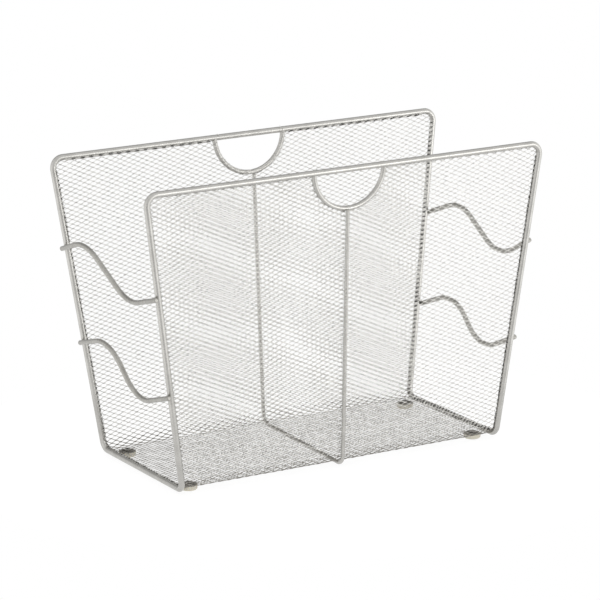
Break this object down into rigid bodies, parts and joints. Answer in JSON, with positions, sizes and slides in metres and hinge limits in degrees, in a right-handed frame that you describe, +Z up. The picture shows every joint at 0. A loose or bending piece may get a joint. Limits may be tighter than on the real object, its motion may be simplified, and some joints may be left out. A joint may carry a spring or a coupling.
{
  "type": "magazine rack",
  "caption": "Open-ended trough of expanded metal mesh in a bent wire frame, flared towards the top, with half-round handle cut-outs, S-shaped end wires and round feet.",
  "frame": {"origin": "middle of the footprint, on the surface that the feet stand on", "axes": "+Z up, +X along the rack's length to its right, -Y towards its front panel"},
  "size_m": [0.4026, 0.1854, 0.2782],
  "materials": {
    "silver_wire": "satin silver powder coat, slightly warm",
    "silver_mesh": "satin silver powder coat over expanded metal",
    "foot_pad": "soft matte cream",
    "fixing_steel": "dull zinc"
  },
  "bodies": {
    "root": {"frame_wire": "silver_wire", "centre_rib": "silver_wire", "front_handle_arc": "silver_wire", "back_handle_arc": "silver_wire", "left_upper_s_wire": "silver_wire", "left_lower_s_wire": "silver_wire", "right_upper_s_wire": "silver_wire", "right_lower_s_wire": "silver_wire", "mesh_sheet": "silver_mesh", "front_left_foot": "foot_pad", "front_right_foot": "foot_pad", "back_left_foot": "foot_pad", "back_right_foot": "foot_pad", "foot_washers": "fixing_steel", "foot_screws": "fixing_steel"}
  },
  "joints": []
}
